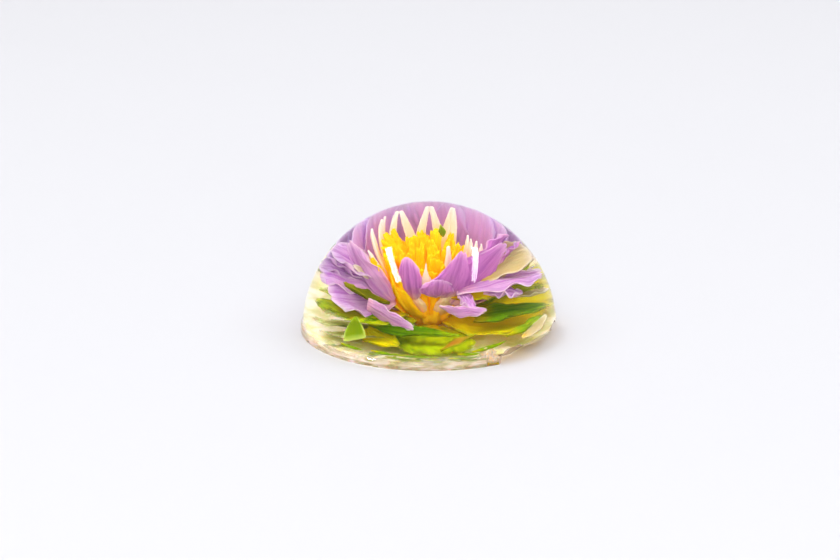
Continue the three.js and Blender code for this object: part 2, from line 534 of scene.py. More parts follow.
@dataclass
class JellyDome:
    """The clear dome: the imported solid's form with a finer surface.

    ripple_from is the share of the radius from which the foot is rippled, wall_step is how far the wall
    stands out where it meets the foot, and nick_height is where the nicks are, as a share of base_edge.
    """

    radius: float = 40.0
    height: float = 40.0
    foot_height: float = 2.6
    foot_flare: float = 0.6
    foot_lip: float = 0.35
    base_edge: float = 0.7
    foot_ripple: float = 0.22
    ripple_fade: float = 7.0
    ripple_from: float = 0.85
    wall_step: float = 0.08
    nick_height: float = 0.6
    turns: int = 240
    wall_steps: int = 110
    edge_steps: int = 6
    base_rings: tuple[float, ...] = (6.0, 12.0, 18.0, 24.0, 30.0, 35.0, 38.0)
    scoops: tuple[Scoop, ...] = (Scoop(60.5, 8.0, 25.0, 5.2, 4.0, 0.04), Scoop(89, 7.5, 12.0, 5.9, 3.0, 0.05),
                                 Scoop(41.5, 7.0, 6.5, 6.5, 2.0, 0.05), Scoop(76, 7.0, 6.0, 7.3, 2.0, 0.05))
    slices: tuple[Slice, ...] = (Slice(26, 5.5, 0.8, 3), Slice(-56, 8.0, 0.25, 0))
    nicks: tuple[Nick, ...] = (Nick(-68, 0.9), Nick(-47, 0.7), Nick(-24, 0.8), Nick(10, 0.75),
                               Nick(79, 1.1), Nick(137, 0.8), Nick(201, 0.9))
    crisp_deg: float = 24.0

    def wall_radius(self, height: float) -> float:
        """The dome's own radius at a height."""
        return self.radius * math.sqrt(max(0.0, 1 - (height / self.height) ** 2))

    def half_section(self) -> list[Vector]:
        """Works out the half section.

        Returns:
            Points from the middle of the flat face out to the foot and up to the crown.
        """
        points = [Vector((0, 0, 0))] + [Vector((r, 0, 0)) for r in self.base_rings]
        foot = self.radius + self.foot_flare
        for step in range(self.edge_steps + 1):
            angle = step / self.edge_steps * math.pi / 2
            points.append(Vector((foot - self.base_edge * (1 - math.sin(angle)), 0,
                                  self.base_edge * (1 - math.cos(angle)))))
        points.append(Vector((foot - self.foot_lip * 0.5, 0, self.foot_height - self.foot_lip)))
        points.append(Vector((self.wall_radius(self.foot_height) + self.wall_step, 0, self.foot_height)))
        first = math.asin((self.foot_height + self.foot_lip) / self.height)
        for step in range(self.wall_steps):
            angle = first + step / self.wall_steps * (math.pi / 2 - first)
            points.append(Vector((self.radius * math.cos(angle), 0, self.height * math.sin(angle))))
        return points + [Vector((0, 0, self.height))]

    def ripple(self, bm: BMesh) -> None:
        """Ripples the outline of the foot, and lets the ripple die away up the wall.

        Args:
            bm: The dome.
        """
        for vert in bm.verts:
            x, y, z = vert.co / MM
            radius = math.hypot(x, y)
            if radius < self.radius * self.ripple_from:
                continue
            angle = math.atan2(y, x)
            wave = (math.sin(3 * angle + 0.6) * 0.5 + math.sin(7 * angle + 2.1) * 0.3
                    + math.sin(16 * angle) * 0.2)
            share = wave * math.sin(2 * angle) ** 2 * max(0.0, 1 - z / self.ripple_fade)
            scale = 1 + self.foot_ripple * share / radius
            vert.co.x *= scale
            vert.co.y *= scale

    def whole(self) -> BMesh:
        """Spins the dome as it was before it was torn.

        Returns:
            The whole dome.
        """
        bm = spin_line(self.half_section(), self.turns, 0.0005)
        self.ripple(bm)
        return bm

    def smooth_cuts(self) -> list[BMesh]:
        """The shapes of what a knife and the mould's edge took off, which stays clear."""
        foot = self.radius + self.foot_flare
        return ([piece.build(self.wall_radius, self.height) for piece in self.slices]
                + [piece.build(foot, self.base_edge * self.nick_height) for piece in self.nicks])

    def build(self) -> list[Object]:
        """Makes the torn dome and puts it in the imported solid's place.

        Returns:
            The dome, as the one piece.
        """
        clear, broken = CLEAR.build(), BROKEN.build()
        dome = make_piece("jelly_dome", self.whole(), clear)
        cuts = [(shape, clear) for shape in self.smooth_cuts()]
        cuts += [(piece.build(), broken) for piece in self.scoops]
        tools = [add_object(make_mesh(f"cut_{number}", *cut)) for number, cut in enumerate(cuts)]
        for tool in tools:
            cut = dome.modifiers.new(tool.name, "BOOLEAN")
            cut.operation, cut.solver, cut.object = "DIFFERENCE", "MANIFOLD", tool
            cut.material_mode = "TRANSFER"
        graph = bpy.context.evaluated_depsgraph_get()
        torn = bpy.data.meshes.new_from_object(dome.evaluated_get(graph))
        dome.modifiers.clear()
        dome.data = torn
        torn.name = "jelly_dome"
        torn.shade_smooth()
        torn.set_sharp_from_angle(angle=math.radians(self.crisp_deg))
        for tool in tools:
            bpy.data.objects.remove(tool)
        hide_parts("jelly")
        return [dome]

    def inside(self, point: Vector, skin: float = 0.7) -> Vector:
        """Pulls a point in, where it has to be, to lie under the dome's skin and over its flat face.

        Args:
            point: A place in millimetres.
            skin: How much jelly stays over it.

        Returns:
            The place that it takes.
        """
        held = point.copy()
        held.z = max(held.z, skin * 0.5)
        reach = self.radius - skin
        if held.length > reach:
            held *= reach / held.length
            held.z = max(held.z, skin * 0.5)
        return held


@dataclass(frozen=True)
class BladeForm:
    """The shape that one tool cuts in the clear jelly and fills: a thin curved blade.

    Thickness and waves are in millimetres. The width runs from root_share of the widest, at the root, to
    all of it at the share "widest" of the length, and to tip_share of it at the end. tip_round is how far
    the corners of the end fall back, and notch how deep it is split between its lobes, as shares of the
    length.
    """

    thick: float
    widest: float = 0.62
    root_share: float = 0.22
    tip_share: float = 0.75
    tip_round: float = 0.3
    notch: float = 0.1
    lobes: float = 3.0
    cup_deg: float = 60.0
    ruffle: float = 0.5
    waves: float = 3.0
    ragged: float = 0.1
    crinkle: float = 0.35
    crinkle_size: float = 4.0
    ribs: float = 0.1
    rib_count: float = 7.0
    rows: int = 36
    columns: int = 30


@dataclass(frozen=True)
class BladePlace:
    """Where a blade lies.

    Its root, bend and tip are each an azimuth, a radius and a height. width is its widest in millimetres,
    and roll turns it about its own length, in degrees.
    """

    root: Spot
    bend: Spot
    tip: Spot
    width: float
    roll: float = 0.0
    cup: float = 1.0


class Tool(Enum):
    """The tools that the blades are cut with."""

    # thick, widest, root_share, tip_share, tip_round, notch, lobes, cup_deg, ruffle, waves, ragged, crinkle,
    # crinkle_size, ribs and rib_count, then rows and columns where a blade has its own
    STAMEN = BladeForm(1.5, 0.86, 0.6, 1, 0.04, 0.07, 2, 40, 0.1, 1, 0.26, 0.5, 1.5, 0.06, 2, 22, 12)
    SPIKE = BladeForm(1.2, 0.4, 0.9, 0.5, 0.03, 0, 1, 60, 0.05, 1, 0.1, 0.16, 2.6, 0, 1, 24, 8)
    POINT = BladeForm(1.2, 0.4, 0.8, 0.12, 0.1, 0, 1, 60, 0.05, 1, 0.1, 0.16, 2.6, 0, 1, 24, 12)
    PETAL = BladeForm(0.8, 0.68, 0.5, 0.94, 0.2, 0, 2, 60, 0.25, 2, 0.06, 0.35, 3.2, 0.08, 4)
    ROUND_TIP = BladeForm(0.8, 0.66, 0.25, 0.85, 0.24, 0.03, 2, 60, 0.25, 2, 0.08, 0.3, 4, 0.1, 5)
    KITE = BladeForm(0.7, 0.6, 0.25, 0.6, 0.3, 0.06, 3, 45, 0.4, 2, 0.1, 0.4, 4, 0.08, 5)
    RIBBON = BladeForm(0.7, 0.6, 0.3, 0.8, 0.22, 0.07, 3, 50, 0.7, 3, 0.12, 0.6, 3.8, 0.08, 4)
    FRILLED = BladeForm(0.8, 0.75, 0.2, 0.9, 0.18, 0.09, 3, 30, 1, 2, 0.08, 0.6, 4.4, 0.05, 4)
    TORN = BladeForm(0.8, 0.8, 0.16, 0.95, 0.14, 0.12, 4, 40, 0.9, 3, 0.16, 0.9, 3.4, 0.08, 5, 48, 40)
    SASH = BladeForm(0.8, 0.7, 0.6, 0.95, 0.1, 0.2, 4, 30, 0.8, 3, 0.2, 0.7, 3, 0.1, 6, 48, 36)
    STRIP = BladeForm(0.8, 0.5, 0.66, 0.66, 0.12, 0.08, 3, 10, 0.4, 3, 0.16, 0.5, 3.2, 0.1, 5)
    TALL = BladeForm(0.7, 0.7, 0.3, 0.86, 0.24, 0.05, 2, 60, 0.4, 2, 0.08, 0.3, 4, 0.12, 11, 40, 44)
    BROAD = BladeForm(0.6, 0.7, 0.3, 0.7, 0.3, 0.04, 2, 70, 0.3, 2, 0.06, 0.3, 5, 0.1, 15, 40, 60)
    FINGER = BladeForm(1, 0.6, 0.6, 0.8, 0.2, 0.05, 2, 50, 0.1, 1, 0.1, 0.25, 3, 0.1, 4, 30, 12)
    ROOT = BladeForm(1.2, 0.7, 0.5, 0.8, 0.2, 0, 1, 70, 0.1, 1, 0.1, 0.3, 3, 0.12, 5, 20, 16)
    LEAF = BladeForm(0.8, 0.62, 0.2, 0.5, 0.2, 0.08, 4, 25, 0.5, 2, 0.16, 0.4, 4, 0.1, 8)
    SLAB = BladeForm(0.8, 0.35, 0.75, 0.45, 0.2, 0.08, 4, 25, 0.5, 2, 0.16, 0.4, 4, 0.1, 8)
    FLAP = BladeForm(0.9, 0.98, 0.05, 1, 0, 0, 3, 20, 0.1, 1, 0.05, 0.3, 4, 0, 1)
    SKIRT = BladeForm(0.5, 0.7, 0.3, 0.9, 0.1, 0.05, 3, 8, 0.2, 2, 0.08, 0.3, 5, 0.08, 9, 40, 44)
    SLIVER = BladeForm(0.6, 0.4, 0.2, 0.2, 0, 0, 1, 30, 0.1, 1, 0.1, 0.1, 3, 0, 1, 16, 8)
    THREAD = BladeForm(0.5, 0.5, 0.2, 0.2, 0.1, 0, 1, 20, 0.1, 2, 0.3, 0.1, 1.5, 0, 1, 30, 6)
    SCRAP = BladeForm(0.5, 0.5, 0.3, 0.3, 0.2, 0, 1, 20, 0.2, 2, 0.3, 0.25, 1.5, 0, 1, 12, 6)


@dataclass(frozen=True)
class Blade:
    """One blade: its shape, where it lies, and its own number, which sets its noise apart.

    Along it runs from 0 at the root to 1 at the tip, across it from -1 to 1, and its side is 1 on the face
    towards the flower's axis and -1 on the other. That face looks up by face_up and in by face_in, and by
    face_out the other way where the blade hangs. edge_thinning and tip_thinning are how much of its
    thickness it loses there.
    """

    form: BladeForm
    place: BladePlace
    tone: float
    face_up: float = 0.8
    face_in: float = 0.6
    face_out: float = 1.5
    edge_thinning: float = 0.84
    tip_thinning: float = 0.75

    def half_width(self, along: float, across: float) -> float:
        """Works out half the width at a place along the blade.

        Args:
            along: The place.
            across: Its sign tells which edge's raggedness is taken.

        Returns:
            The share of half the widest.
        """
        form = self.form
        if along < form.widest:
            share = form.root_share + (1 - form.root_share) * math.sin(math.pi / 2 * along / form.widest)
        else:
            share = 1 - (1 - form.tip_share) * smooth(form.widest, 1.0, along)
        edge = math.copysign(3.0, across)
        jag = noise.noise(Vector((along * 7, edge, self.tone * 53)))
        jag += 0.3 * noise.noise(Vector((along * 17, edge, self.tone * 31)))
        return share * (1 + form.ragged * jag)

    def reach(self, across: float) -> float:
        """Works out how far the blade's end reaches at a place across it.

        Args:
            across: The place.

        Returns:
            The share of the length.
        """
        form = self.form
        drift = noise.noise(Vector((across * 1.4, self.tone * 71, 5.0)))
        split = (0.5 + 0.5 * math.cos(math.pi * form.lobes * across + self.tone * 20 + 2.5 * drift)) ** 3
        return 1 - form.tip_round * abs(across) ** 2.3 - form.notch * split * (0.6 + drift)

    def spot(self, along: float, across: float, side: float) -> Vector:
        """Works out one point of the blade's surface.

        Args:
            along: The place along it.
            across: The place across it.
            side: The face.

        Returns:
            The point, in millimetres.
        """
        form, place, tone = self.form, self.place, self.tone
        root, bend, tip = [spot_at(point) for point in (place.root, place.bend, place.tip)]
        run = along * self.reach(across)
        spine = root * (1 - run) ** 2 + bend * 2 * run * (1 - run) + tip * run**2
        heading = ((bend - root) * (1 - run) + (tip - bend) * run).normalized()
        outward = Vector((spine.x, spine.y, 0)).normalized()
        inward = (Vector((0, 0, self.face_up))
                  + outward * (self.face_out * smooth(0.1, -0.6, heading.z) - self.face_in))
        sideways = heading.cross(inward).normalized()
        sideways = Matrix.Rotation(math.radians(place.roll), 3, heading) @ sideways
        normal = sideways.cross(heading).normalized()
        curl = math.radians(form.cup_deg * place.cup) / 2
        angle = across * curl
        width = place.width / 2 * self.half_width(along, across)
        bow = width / max(0.05, math.sin(min(abs(curl), math.pi / 2)))
        spread = sideways * (bow * math.sin(angle) if abs(curl) > 0.05 else width * across)
        spread += normal * bow * (1 - math.cos(angle)) * math.copysign(1, curl)
        face = (normal * math.cos(angle) - sideways * math.sin(angle)).normalized()
        wave = math.sin(form.waves * math.tau * along + tone * 40 + math.copysign(1.1, across))
        lift = form.ruffle * across**2 * wave * smooth(0.1, 0.6, along)
        fold = Vector((along * 10, across * place.width / 2, tone * 91)) / form.crinkle_size
        lift += form.crinkle * (noise.noise(fold) + 0.3 * noise.noise(fold * 2.3))
        drift = 3 * noise.noise(Vector((along * 3, across, tone * 9)))
        lift += form.ribs * math.cos(form.rib_count * math.pi * across + drift) * smooth(0.0, 0.3, along)
        body = form.thick * (1 - self.edge_thinning * abs(across) ** 4)
        body *= 1 - self.tip_thinning * smooth(0.8, 1.0, along)
        return spine + spread + face * (lift + side * body / 2)


@dataclass
class BladeBed:
    """Collects the blades of one colour into one mesh."""

    dome: JellyDome
    rng: random.Random
    bm: BMesh = field(default_factory=bmesh.new)

    def __post_init__(self) -> None:
        """Adds the layers that the finishes read."""
        self.along, self.across, self.tone, self.side = [
            self.bm.verts.layers.float.new(name) for name in LAYERS]

    def lay(self, tool: Tool, place: BladePlace) -> None:
        """Adds one blade: a grid with a back to it, bent to the blade's shape under the dome's skin.

        Args:
            tool: The tool that it is cut with.
            place: Where that went in.
        """
        blade = Blade(tool.value, place, self.rng.random())
        front = bmesh.ops.create_grid(self.bm, x_segments=blade.form.rows, y_segments=blade.form.columns,
                                      size=0.5)["verts"]
        for vert in front:
            vert[self.along], vert[self.across] = vert.co.x + 0.5, vert.co.y * 2
            vert[self.tone], vert[self.side] = blade.tone, 1.0
        faces = list({face for vert in front for face in vert.link_faces})
        back = [item for item in bmesh.ops.extrude_face_region(self.bm, geom=faces)["geom"]
                if isinstance(item, BMVert)]
        for vert in back:
            vert[self.side] = -1.0
        for vert in front + back:
            spot = blade.spot(vert[self.along], vert[self.across], vert[self.side])
            vert.co = self.dome.inside(spot) * MM

    def finish(self, name: str, material: Material, slot: Slot) -> Object:
        """Closes the bed as one piece.

        Args:
            name: The piece's name.
            material: Its finish.
            slot: Not used.

        Returns:
            The piece.
        """
        bmesh.ops.recalc_face_normals(self.bm, faces=self.bm.faces)
        return make_piece(name, self.bm, material)


@dataclass
class BladeGroup:
    """Pieces made of blades, sunk in one dome."""

    dome: JellyDome
    seed: int
    pieces: list[Object] = field(default_factory=list)

    def bed(self, number: int) -> BladeBed:
        """An empty bed, whose random draws its number and the group's seed set."""
        return BladeBed(self.dome, random.Random(self.seed + number))

    def lay(self, name: str, number: int, finish: Material, slot: Slot, blades: Iterable[tuple]) -> None:
        """Adds a piece.

        Args:
            name: The piece's name.
            number: Its bed's number.
            finish: Its jelly.
            slot: Not used; it is only handed on to the bed.
            blades: For each blade its tool, and after that what BladePlace takes.
        """
        bed = self.bed(number)
        for tool, *place in blades:
            bed.lay(tool, BladePlace(*place))
        self.pieces.append(bed.finish(name, finish, slot))


@dataclass
class Lotus(BladeGroup):
    """The flower: a crowd of yellow stamens, cream spikes round them, and rings of purple petals.

    Each ring of stamens has their number, their radius, their height and their width. The heart's half
    section is in radii and heights.
    """

    seed: int = 7
    stamen_rings: tuple[tuple[int, float, float, float], ...] = (
        (5, 2.2, 23, 2.2), (11, 5, 23.2, 2.3), (17, 8, 22.4, 2.3), (22, 10.7, 20.8, 2.5))
    stamen_lean_deg: float = 9.0
    stamen_roll_deg: float = 35.0
    tall_count: int = 9
    broad_count: int = 5
    heart_section: tuple[tuple[float, float], ...] = (
        (0, 0.9), (2.4, 1.2), (4.4, 3), (5.4, 5.6), (5.6, 8.6), (5.4, 11.4), (3.6, 12.6), (0, 13))
    heart_height: float = 12.6
    heart_turns: int = 72
    heart_cuts: int = 3
    heart_flutes: int = 9
    heart_flute: float = 0.12
    heart_lump: float = 0.16
    heart_lump_per_m: float = 420.0

    def build(self) -> list[Object]:
        """Makes the flower, from the stamens out, and its heart.

        Returns:
            The pieces.
        """
        yellow = YELLOW.build()
        self.stamens(yellow)
        self.spikes(CREAM.build())
        self.petals(INNER.build(), PURPLE.build())
        self.back_petals(PALE.build())
        self.lay("petals_straw", 5, STRAW.build(), Slot.CREAM, [
            (Tool.TALL, (66, 12, 14), (79, 20.5, 19.8), (92, 31, 23.4), 12.5, 32),
            (Tool.TALL, (116, 8, 6), (118, 19, 10), (112, 32, 18.5), 13),
            (Tool.TALL, (-62, 12, 12), (-67, 17, 16), (-71, 22, 20.4), 2.8, -30),
            (Tool.TALL, (70, 24, 11.4), (78, 30, 12), (87, 34.6, 12.8), 4, 20),
            (Tool.TALL, (47, 37.2, 5.7), (58, 37.8, 6.2), (70, 37.2, 8.6), 3.4, 60)])
        # The long yellow blades that rise from the heart outside the stamens: azimuth, radius, top, width
        # and roll
        self.lay("yellow_blades", 6, yellow, Slot.YELLOW, [
            (Tool.FINGER, (azimuth + 4, 4.4, 4.4), (azimuth, radius * 0.78, top * 0.45),
             (azimuth, radius, top), width, roll)
            for azimuth, radius, top, width, roll in (
                (-52, 14.6, 23, 7, -14), (-46, 13.4, 19, 6.4, -14), (-37, 13.2, 14.6, 7, -10),
                (-84, 15.4, 20.8, 3.2, -50), (-72, 16, 21.2, 4.4, -50), (-60, 15.8, 20.4, 5, -50),
                (-47, 14.4, 19, 5, -40), (-38, 12, 17, 3.8, -30), (56, 12, 17, 2.8, 40),
                (70, 13.5, 18, 2.8, 40))])
        # The pale fleshy roots of the petals round the top of the heart: azimuth, radius, top and width
        self.lay("petal_roots", 8, FLESH.build(), Slot.CREAM, [
            (Tool.ROOT, (azimuth, 4.4, 5), (azimuth, 6.8, 7.6), (azimuth, radius, top), width)
            for azimuth, radius, top, width in (
                (-24, 10.2, 11.8, 3.8), (27, 10.2, 12, 3.8), (40, 10.2, 12.4, 4.8), (-70, 9.4, 11.6, 5),
                (-50, 9.4, 11.4, 4.6), (52, 9.4, 12.4, 4.6), (72, 9.6, 12.6, 5), (100, 9.6, 12, 6),
                (140, 9.6, 12, 6), (180, 9.6, 12, 6), (-140, 9.6, 12, 6), (-98, 9.6, 12, 6))])
        self.heart(HEART.build())
        return self.pieces

    def stamens(self, finish: Material) -> None:
        """Makes the yellow crowd: rings of blunt fingers, the outer ones leaning out, and a few at the left.

        Args:
            finish: The egg yellow jelly.
        """
        bed = self.bed(0)
        for count, radius, top, width in self.stamen_rings:
            for number in range(count):
                azimuth = (number + bed.rng.uniform(-0.25, 0.25)) * 360 / count + radius * 13
                side = 0.5 - 0.5 * math.sin(math.radians(azimuth))
                reach = radius * (0.92 + 0.16 * side) + bed.rng.uniform(-0.6, 0.6)
                crown = top + bed.rng.uniform(-2.2, 1.0) - 1.2 * side * smooth(6, 10, radius)
                lean = bed.rng.uniform(-self.stamen_lean_deg, self.stamen_lean_deg)
                bed.lay(Tool.STAMEN, BladePlace(
                    (azimuth, 0.8 + radius * 0.3, 5.0), (azimuth, reach * 0.72, crown * 0.6),
                    (azimuth + lean, reach, crown), width * bed.rng.uniform(0.8, 1.25),
                    bed.rng.uniform(-self.stamen_roll_deg, self.stamen_roll_deg)))
        for azimuth, radius, top, width in ((-122, 11.0, 24.0, 2.4), (-110, 12.4, 23.6, 2.6),
                                            (-99, 12.5, 22.8, 2.3), (-88, 12.5, 21.8, 2.4),
                                            (-77, 12.3, 20.6, 2.2)):
            bed.lay(Tool.STAMEN, BladePlace((azimuth, 5, 15), (azimuth, 9, 20), (azimuth, radius, top), width,
                                            10))
        self.pieces.append(bed.finish("stamens", finish, Slot.YELLOW))

    def spikes(self, finish: Material) -> None:
        """Makes the cream spikes: most are the two legs of a narrow arch, and one stands at the front.

        Args:
            finish: The cream jelly.
        """
        legs = (((-140, 6.5, 8), (-166, 10.6, 18.5), (-179, 14, 26), 2.5),
                ((140, 6.5, 8), (166, 10.6, 18.5), (179, 14, 26), 2.5),
                ((-105, 8, 10), (-130, 12.8, 21), (-148, 14.6, 26), 2.2),
                ((-164, 5, 10), (-155, 10.2, 20), (-150, 14.2, 26), 2.6),
                ((164, 5, 10), (160, 11.2, 21), (157.5, 14.5, 26.4), 2),
                ((138, 7, 10), (150, 11.6, 21), (156.5, 14.5, 26.4), 2),
                ((-92, 9, 11), (-110, 13.6, 21.5), (-127, 15, 25.9), 1.7),
                ((-78, 9, 11), (-97, 14.2, 20.5), (-113, 16, 24.6), 1.6),
                ((-60, 8, 9), (-72, 14.2, 18), (-84, 16.2, 22), 1.9),
                ((92, 6, 12), (100, 9.6, 18.6), (112, 10.2, 23.2), 1.3),
                ((86, 7, 11), (94, 10.4, 18.4), (104, 10.7, 22.8), 1.1),
                ((82, 8, 11), (88, 11.6, 18.2), (99, 12, 22.6), 1.7),
                ((80, 8, 11), (88, 12.8, 17.8), (97, 13.2, 22), 1.3),
                ((28, 6, 10), (29, 10.2, 18), (29, 10.4, 26.6), 2.2),
                ((-118, 8, 8), (-122, 14, 17), (-140, 16.5, 24), 1.5))
        self.lay("cream_spikes", 1, finish, Slot.CREAM, [
            *((Tool.SPIKE, *leg) for leg in legs),
            (Tool.POINT, (-5, 9.5, 13.4), (-5, 12.6, 15.5), (-5, 12, 22.4), 3.8)])

    def petals(self, upright: Material, front: Material) -> None:
        """Makes the purple petals at the front and the sides.

        Args:
            upright: The finish of the ones that stand round the stamens.
            front: The finish of the ones that lie free of one another, lower and further out.
        """
        self.lay("petals_inner", 2, upright, Slot.PURPLE, [
            (Tool.PETAL, (-27, 9.8, 11), (-24, 13.6, 15), (-28, 13.2, 24.2), 6.8),
            (Tool.KITE, (24, 9, 10.8), (28, 14.5, 15), (38, 14.6, 26.3), 13, -12),
            (Tool.ROUND_TIP, (6, 10, 12), (8, 12.8, 13.2), (9, 13.8, 18.2), 9.5, 0, 0.6),
            (Tool.KITE, (36, 9, 9), (49, 14.5, 17.5), (82, 21.5, 26), 12, -60, 0.4),
            (Tool.RIBBON, (62, 12, 16), (84, 17, 24), (95, 22.6, 27.2), 8, -30),
            (Tool.RIBBON, (80, 17, 16.5), (91, 21.5, 21.5), (99, 27, 25.4), 6, -20)])
        self.lay("petals_low", 3, front, Slot.PURPLE, [
            (Tool.RIBBON, (-50, 12.6, 10), (-57, 18.8, 15.2), (-88, 23.2, 26.6), 8.4, 45),
            (Tool.FRILLED, (-55, 11, 9.6), (-61, 20, 11.4), (-67, 31.8, 15.4), 18.5, -30),
            (Tool.STRIP, (-44, 24.4, 12.8), (-29, 26.5, 11.8), (-9, 28.8, 9.4), 5.6, -74),
            (Tool.STRIP, (7, 23.5, 14.2), (18, 27, 12.4), (33, 29.5, 13.8), 3.4, -60),
            (Tool.TORN, (50, 18.5, 13.8), (57, 23.6, 14.4), (65, 28.5, 14.2), 5.6, 24),
            (Tool.SASH, (34, 13.5, 13.4), (58, 24, 16.6), (85, 35.8, 18.8), 8.8, 24),
            (Tool.TORN, (-64, 9, 10), (-75, 20, 16.5), (-90, 33, 21), 16, -30),
            (Tool.RIBBON, (-70, 10, 10), (-80, 19, 18), (-93, 30, 25.2), 13, -10),
            (Tool.RIBBON, (38, 12, 12.8), (33, 18, 13.8), (29, 24.8, 12.2), 3.6),
            (Tool.RIBBON, (-76, 12, 11), (-84, 23, 17.5), (-91, 33.4, 20.6), 9, -20),
            (Tool.RIBBON, (-76, 12, 11), (-86, 22, 19), (-94, 31.6, 23.2), 9, -14)])

    def back_petals(self, finish: Material) -> None:
        """Makes the tall petals behind the stamens, the broad ones outside them, and two at the left.

        Args:
            finish: The purple jelly let down with more milk.
        """
        tall = []
        for number in range(self.tall_count):
            azimuth = 116 + number * 16.2
            lift = math.cos(math.radians(azimuth - 180))
            tall.append((Tool.TALL, (azimuth, 6, 4.5), (azimuth, 16.5, 9),
                         (azimuth, 23.0 - 1.5 * lift + 1.6 * (number % 2), 26.3 + 3.6 * lift), 19.0))
        broad = []
        for number in range(self.broad_count):
            azimuth = 118 + number * 32.5
            lift = math.cos(math.radians(azimuth - 180))
            broad.append((Tool.BROAD, (azimuth, 7, 4), (azimuth, 21, 7),
                          (azimuth, 29.0 - 2.0 * lift, 24.0 + 3.6 * lift), 24.0))
        left = (Tool.TALL, (-94, 8, 6), (-96, 19, 11), (-99, 27.5, 24.0), 14.0)
        left_outer = (Tool.BROAD, (-88, 9, 6), (-91, 22, 10.5), (-95, 33.0, 18.6), 17.0)
        rings = {"petals_back": tall[::2], "petals_back_between": tall[1::2], "petals_back_outer": broad,
                 "petal_left": [left], "petal_left_outer": [left_outer]}
        for number, (name, blades) in enumerate(rings.items(), start=6):
            self.lay(name, number, finish, Slot.PURPLE, blades)

    def heart(self, finish: Material) -> None:
        """Makes the yellow heart: the fluted cone where all the blades meet, down to the flat face.

        Args:
            finish: The heart's jelly.
        """
        bm = spin_line([Vector((radius, 0, height)) for radius, height in self.heart_section],
                       self.heart_turns, 0.002, self.heart_cuts)
        along, across, tone, side = [bm.verts.layers.float.new(name) for name in LAYERS]
        for vert in bm.verts:
            angle = math.atan2(vert.co.y, vert.co.x)
            lump = noise.noise(vert.co * self.heart_lump_per_m)
            flute = 1 + self.heart_flute * math.sin(self.heart_flutes * angle + 2 * lump)
            flute += self.heart_lump * lump
            vert.co.x *= flute
            vert.co.y *= flute
            vert[along] = min(1.0, vert.co.z / (self.heart_height * MM))
            vert[across] = math.sin(5 * angle) * 0.7
            vert[tone], vert[side] = 0.4, 1.0
        self.pieces.append(make_piece("flower_heart", bm, finish))


